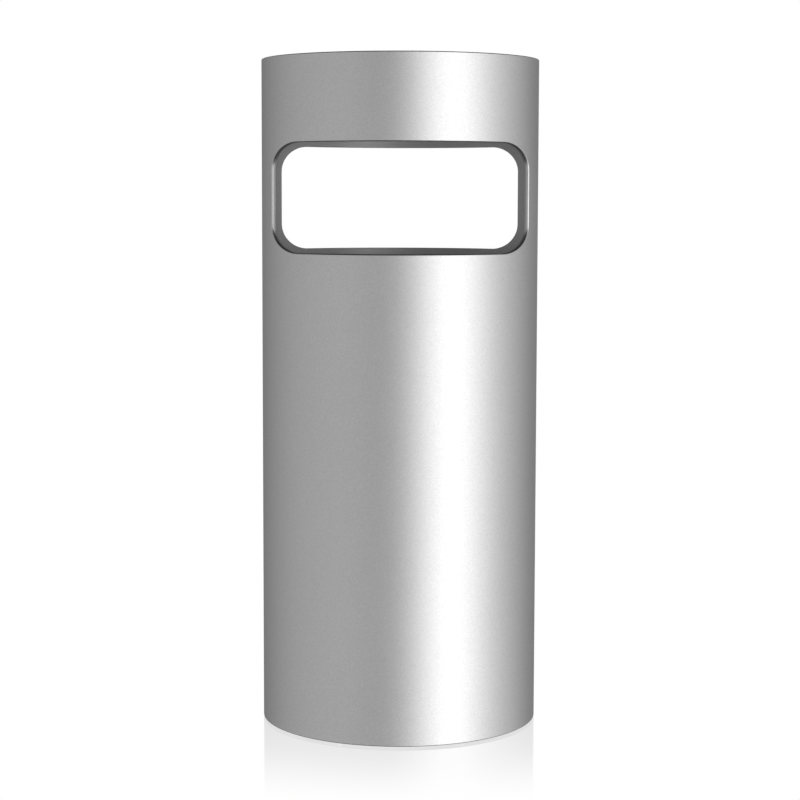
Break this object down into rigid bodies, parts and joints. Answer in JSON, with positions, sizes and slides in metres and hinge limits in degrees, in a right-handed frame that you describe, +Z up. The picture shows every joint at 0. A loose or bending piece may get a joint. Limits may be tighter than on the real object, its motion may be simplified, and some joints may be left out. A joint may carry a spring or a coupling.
{
  "type": "umbrella stand",
  "caption": "Straight cylindrical umbrella stand with a wide rounded hand window in front and behind, a lift-out drip tray and a rubber tip mat.",
  "frame": {"origin": "centre of the footprint on the ground", "axes": "+Z up; the front window faces -Y"},
  "size_m": [0.254, 0.254, 0.61],
  "materials": {
    "shell_lacquer": "satin silver metallic lacquer on moulded ABS",
    "floor_plastic": "moulded dark grey, fine texture",
    "screw_steel": "zinc plated",
    "foot_rubber": "matt",
    "tray_plastic": "moulded dark grey, satin",
    "mat_rubber": "matt"
  },
  "bodies": {
    "stand": {"body_shell": "shell_lacquer", "base_floor": "floor_plastic", "base_screws": "screw_steel", "foot_1": "foot_rubber", "foot_2": "foot_rubber", "foot_3": "foot_rubber", "foot_4": "foot_rubber"},
    "drip_tray": {"drip_tray": "tray_plastic"},
    "tip_mat": {"tip_mat": "mat_rubber"}
  },
  "joints": [
    {"name": "tray_lift", "type": "slide", "parent": "stand", "child": "drip_tray", "axis": [0, 0, 1], "range_m": [0, 0.605]},
    {"name": "mat_lift", "type": "slide", "parent": "drip_tray", "child": "tip_mat", "axis": [0, 0, 1], "range_m": [0, 0.6]}
  ]
}
